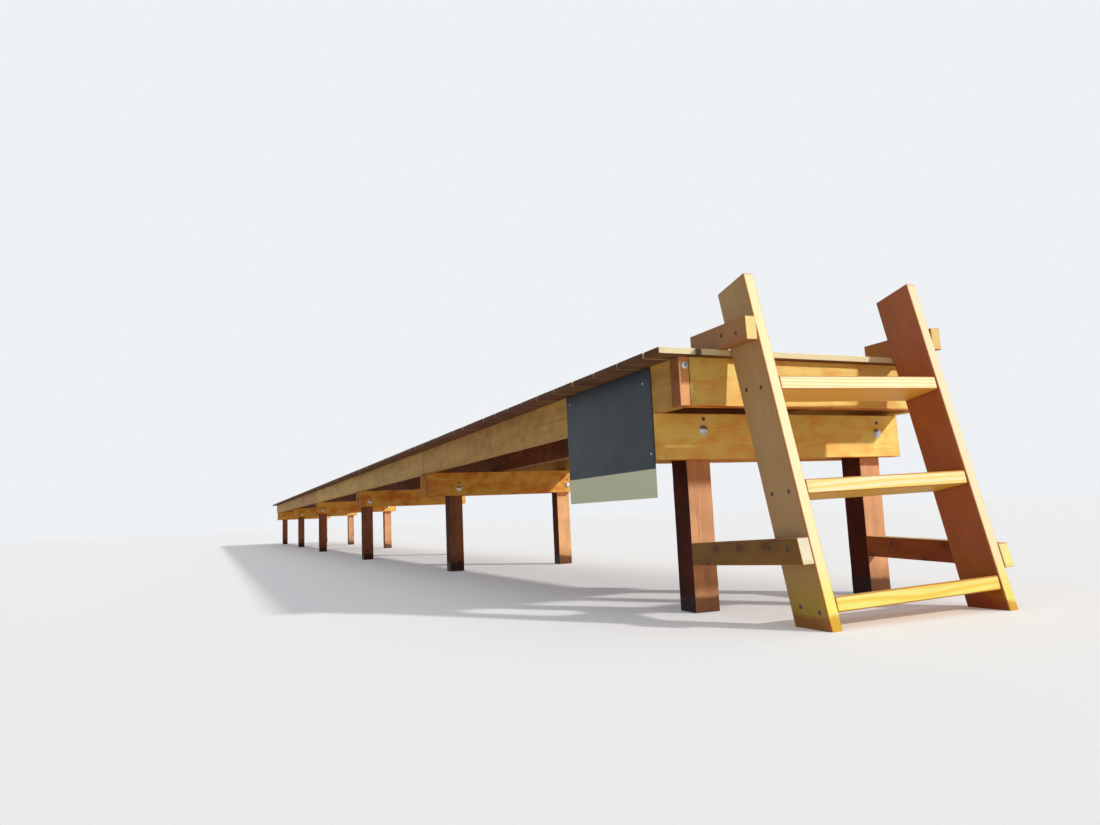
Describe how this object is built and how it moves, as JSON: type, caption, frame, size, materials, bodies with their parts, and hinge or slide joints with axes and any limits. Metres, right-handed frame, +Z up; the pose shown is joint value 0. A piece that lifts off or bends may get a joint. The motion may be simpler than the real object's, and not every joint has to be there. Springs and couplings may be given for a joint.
{
  "type": "wooden jetty with boarding ladder",
  "caption": "Timber jetty: square piles clamped between cross beams carry stringers and a plank deck, with a raked boarding ladder at the water end and a blank side panel.",
  "frame": {"origin": "middle of the jetty's outline in plan, at the level of the pile feet", "axes": "+Y runs along the deck from the ladder to the shore end, +Z is up"},
  "size_m": [1.5, 21.2584, 1.3846],
  "materials": {
    "frame_timber": "sawn, oiled",
    "pile_timber": "sawn, dark at the foot",
    "deck_timber": "sawn, weathered",
    "ladder_timber": "planed, oiled",
    "sign_plate": "matt, two plain bands",
    "fastener_steel": "galvanised"
  },
  "bodies": {
    "root": {"pile_1_left": "pile_timber", "pile_1_right": "pile_timber", "cross_beam_1_front": "frame_timber", "cross_beam_1_rear": "frame_timber", "pile_2_left": "pile_timber", "pile_2_right": "pile_timber", "cross_beam_2_front": "frame_timber", "cross_beam_2_rear": "frame_timber", "pile_3_left": "pile_timber", "pile_3_right": "pile_timber", "cross_beam_3_front": "frame_timber", "cross_beam_3_rear": "frame_timber", "pile_4_left": "pile_timber", "pile_4_right": "pile_timber", "cross_beam_4_front": "frame_timber", "cross_beam_4_rear": "frame_timber", "pile_5_left": "pile_timber", "pile_5_right": "pile_timber", "cross_beam_5_front": "frame_timber", "cross_beam_5_rear": "frame_timber", "pile_6_left": "pile_timber", "pile_6_right": "pile_timber", "cross_beam_6_front": "frame_timber", "cross_beam_6_rear": "frame_timber", "stringer_left": "frame_timber", "stringer_middle": "frame_timber", "stringer_right": "frame_timber", "rim_board_water": "frame_timber", "rim_board_shore": "frame_timber", "deck_bay_1": "deck_timber", "deck_bay_2": "deck_timber", "deck_bay_3": "deck_timber", "deck_bay_4": "deck_timber", "deck_bay_5": "deck_timber", "ladder_rail_left": "ladder_timber", "ladder_rail_right": "ladder_timber", "ladder_step_bottom": "ladder_timber", "ladder_step_middle": "ladder_timber", "ladder_step_top": "ladder_timber", "ladder_brace_upper_left": "ladder_timber", "ladder_brace_upper_right": "ladder_timber", "ladder_brace_lower_left": "ladder_timber", "ladder_brace_lower_right": "ladder_timber", "sign_panel": "sign_plate"}
  },
  "joints": []
}
